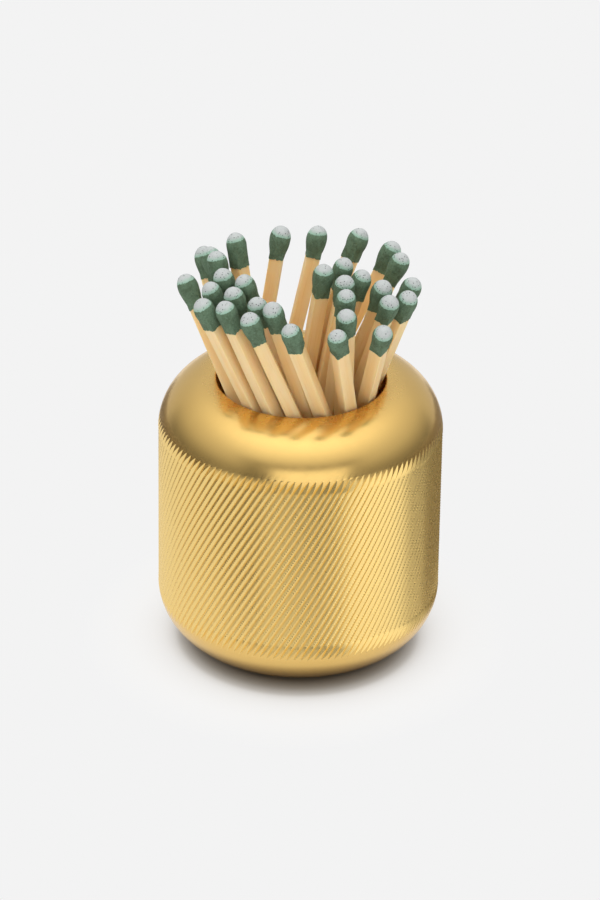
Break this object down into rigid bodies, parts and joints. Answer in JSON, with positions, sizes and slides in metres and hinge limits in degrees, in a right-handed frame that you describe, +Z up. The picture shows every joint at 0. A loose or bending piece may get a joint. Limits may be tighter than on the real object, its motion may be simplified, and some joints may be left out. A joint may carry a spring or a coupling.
{
  "type": "match striker",
  "caption": "Round turned metal pot with a rounded shoulder and a slanting ridged striking band, holding a twisted bunch of kitchen matches that lift out one by one",
  "frame": {"origin": "centre of the flat base, on the surface that the pot stands on", "axes": "+Z up along the pot's axis, +X to the right and +Y to the back as pictured"},
  "size_m": [0.0508, 0.0508, 0.0762],
  "materials": {
    "brass": "polished shoulder and foot, finely ridged side",
    "match": "sawn pale wood stick, matt green head with a pale grey tip"
  },
  "bodies": {
    "pot": {"striker_pot": "brass"},
    "match_01_body": {"match_01": "match"},
    "match_02_body": {"match_02": "match"},
    "match_03_body": {"match_03": "match"},
    "match_04_body": {"match_04": "match"},
    "match_05_body": {"match_05": "match"},
    "match_06_body": {"match_06": "match"},
    "match_07_body": {"match_07": "match"},
    "match_08_body": {"match_08": "match"},
    "match_09_body": {"match_09": "match"},
    "match_10_body": {"match_10": "match"},
    "match_11_body": {"match_11": "match"},
    "match_12_body": {"match_12": "match"},
    "match_13_body": {"match_13": "match"},
    "match_14_body": {"match_14": "match"},
    "match_15_body": {"match_15": "match"},
    "match_16_body": {"match_16": "match"},
    "match_17_body": {"match_17": "match"},
    "match_18_body": {"match_18": "match"},
    "match_19_body": {"match_19": "match"},
    "match_20_body": {"match_20": "match"},
    "match_21_body": {"match_21": "match"},
    "match_22_body": {"match_22": "match"},
    "match_23_body": {"match_23": "match"},
    "match_24_body": {"match_24": "match"},
    "match_25_body": {"match_25": "match"},
    "match_26_body": {"match_26": "match"},
    "match_27_body": {"match_27": "match"},
    "match_28_body": {"match_28": "match"},
    "match_29_body": {"match_29": "match"},
    "match_30_body": {"match_30": "match"},
    "match_31_body": {"match_31": "match"},
    "match_32_body": {"match_32": "match"}
  },
  "joints": [
    {"name": "match_01_lift", "type": "slide", "parent": "pot", "child": "match_01_body", "axis": [-0.2861, 0.2277, 0.9308], "range_m": [0, 0.05]},
    {"name": "match_02_lift", "type": "slide", "parent": "pot", "child": "match_02_body", "axis": [-0.1655, 0.1491, 0.9749], "range_m": [0, 0.05]},
    {"name": "match_03_lift", "type": "slide", "parent": "pot", "child": "match_03_body", "axis": [-0.2147, 0.3957, 0.8929], "range_m": [0, 0.05]},
    {"name": "match_04_lift", "type": "slide", "parent": "pot", "child": "match_04_body", "axis": [-0.2298, 0.1999, 0.9525], "range_m": [0, 0.05]},
    {"name": "match_05_lift", "type": "slide", "parent": "pot", "child": "match_05_body", "axis": [-0.3932, 0.2194, 0.8929], "range_m": [0, 0.05]},
    {"name": "match_06_lift", "type": "slide", "parent": "pot", "child": "match_06_body", "axis": [-0.3009, -0.0328, 0.9531], "range_m": [0, 0.05]},
    {"name": "match_07_lift", "type": "slide", "parent": "pot", "child": "match_07_body", "axis": [-0.3438, -0.0442, 0.938], "range_m": [0, 0.05]},
    {"name": "match_08_lift", "type": "slide", "parent": "pot", "child": "match_08_body", "axis": [-0.2885, -0.1087, 0.9513], "range_m": [0, 0.05]},
    {"name": "match_09_lift", "type": "slide", "parent": "pot", "child": "match_09_body", "axis": [-0.3965, -0.0669, 0.9156], "range_m": [0, 0.05]},
    {"name": "match_10_lift", "type": "slide", "parent": "pot", "child": "match_10_body", "axis": [-0.3273, -0.0934, 0.9403], "range_m": [0, 0.05]},
    {"name": "match_11_lift", "type": "slide", "parent": "pot", "child": "match_11_body", "axis": [-0.3708, -0.0714, 0.9259], "range_m": [0, 0.05]},
    {"name": "match_12_lift", "type": "slide", "parent": "pot", "child": "match_12_body", "axis": [-0.3049, -0.2317, 0.9238], "range_m": [0, 0.05]},
    {"name": "match_13_lift", "type": "slide", "parent": "pot", "child": "match_13_body", "axis": [-0.3503, -0.1826, 0.9186], "range_m": [0, 0.05]},
    {"name": "match_14_lift", "type": "slide", "parent": "pot", "child": "match_14_body", "axis": [-0.256, -0.2285, 0.9393], "range_m": [0, 0.05]},
    {"name": "match_15_lift", "type": "slide", "parent": "pot", "child": "match_15_body", "axis": [-0.2608, -0.3368, 0.9047], "range_m": [0, 0.05]},
    {"name": "match_16_lift", "type": "slide", "parent": "pot", "child": "match_16_body", "axis": [0.1454, 0.0799, 0.9861], "range_m": [0, 0.05]},
    {"name": "match_17_lift", "type": "slide", "parent": "pot", "child": "match_17_body", "axis": [0.2103, 0.1619, 0.9641], "range_m": [0, 0.05]},
    {"name": "match_18_lift", "type": "slide", "parent": "pot", "child": "match_18_body", "axis": [0.3587, 0.1342, 0.9237], "range_m": [0, 0.05]},
    {"name": "match_19_lift", "type": "slide", "parent": "pot", "child": "match_19_body", "axis": [0.127, -0.1659, 0.9779], "range_m": [0, 0.05]},
    {"name": "match_20_lift", "type": "slide", "parent": "pot", "child": "match_20_body", "axis": [0.248, -0.1232, 0.9609], "range_m": [0, 0.05]},
    {"name": "match_21_lift", "type": "slide", "parent": "pot", "child": "match_21_body", "axis": [0.1443, -0.2325, 0.9618], "range_m": [0, 0.05]},
    {"name": "match_22_lift", "type": "slide", "parent": "pot", "child": "match_22_body", "axis": [0.0785, -0.2965, 0.9518], "range_m": [0, 0.05]},
    {"name": "match_23_lift", "type": "slide", "parent": "pot", "child": "match_23_body", "axis": [0.0008, -0.3861, 0.9225], "range_m": [0, 0.05]},
    {"name": "match_24_lift", "type": "slide", "parent": "pot", "child": "match_24_body", "axis": [-0.1002, -0.4445, 0.8902], "range_m": [0, 0.05]},
    {"name": "match_25_lift", "type": "slide", "parent": "pot", "child": "match_25_body", "axis": [0.2463, -0.2134, 0.9454], "range_m": [0, 0.05]},
    {"name": "match_26_lift", "type": "slide", "parent": "pot", "child": "match_26_body", "axis": [0.2558, -0.2613, 0.9308], "range_m": [0, 0.05]},
    {"name": "match_27_lift", "type": "slide", "parent": "pot", "child": "match_27_body", "axis": [0.4039, 0.0234, 0.9145], "range_m": [0, 0.05]},
    {"name": "match_28_lift", "type": "slide", "parent": "pot", "child": "match_28_body", "axis": [0.3611, -0.108, 0.9263], "range_m": [0, 0.05]},
    {"name": "match_29_lift", "type": "slide", "parent": "pot", "child": "match_29_body", "axis": [0.2157, -0.3299, 0.919], "range_m": [0, 0.05]},
    {"name": "match_30_lift", "type": "slide", "parent": "pot", "child": "match_30_body", "axis": [0.2507, -0.3327, 0.9091], "range_m": [0, 0.05]},
    {"name": "match_31_lift", "type": "slide", "parent": "pot", "child": "match_31_body", "axis": [0.3299, -0.2525, 0.9096], "range_m": [0, 0.05]},
    {"name": "match_32_lift", "type": "slide", "parent": "pot", "child": "match_32_body", "axis": [0.1188, -0.474, 0.8725], "range_m": [0, 0.05]}
  ]
}
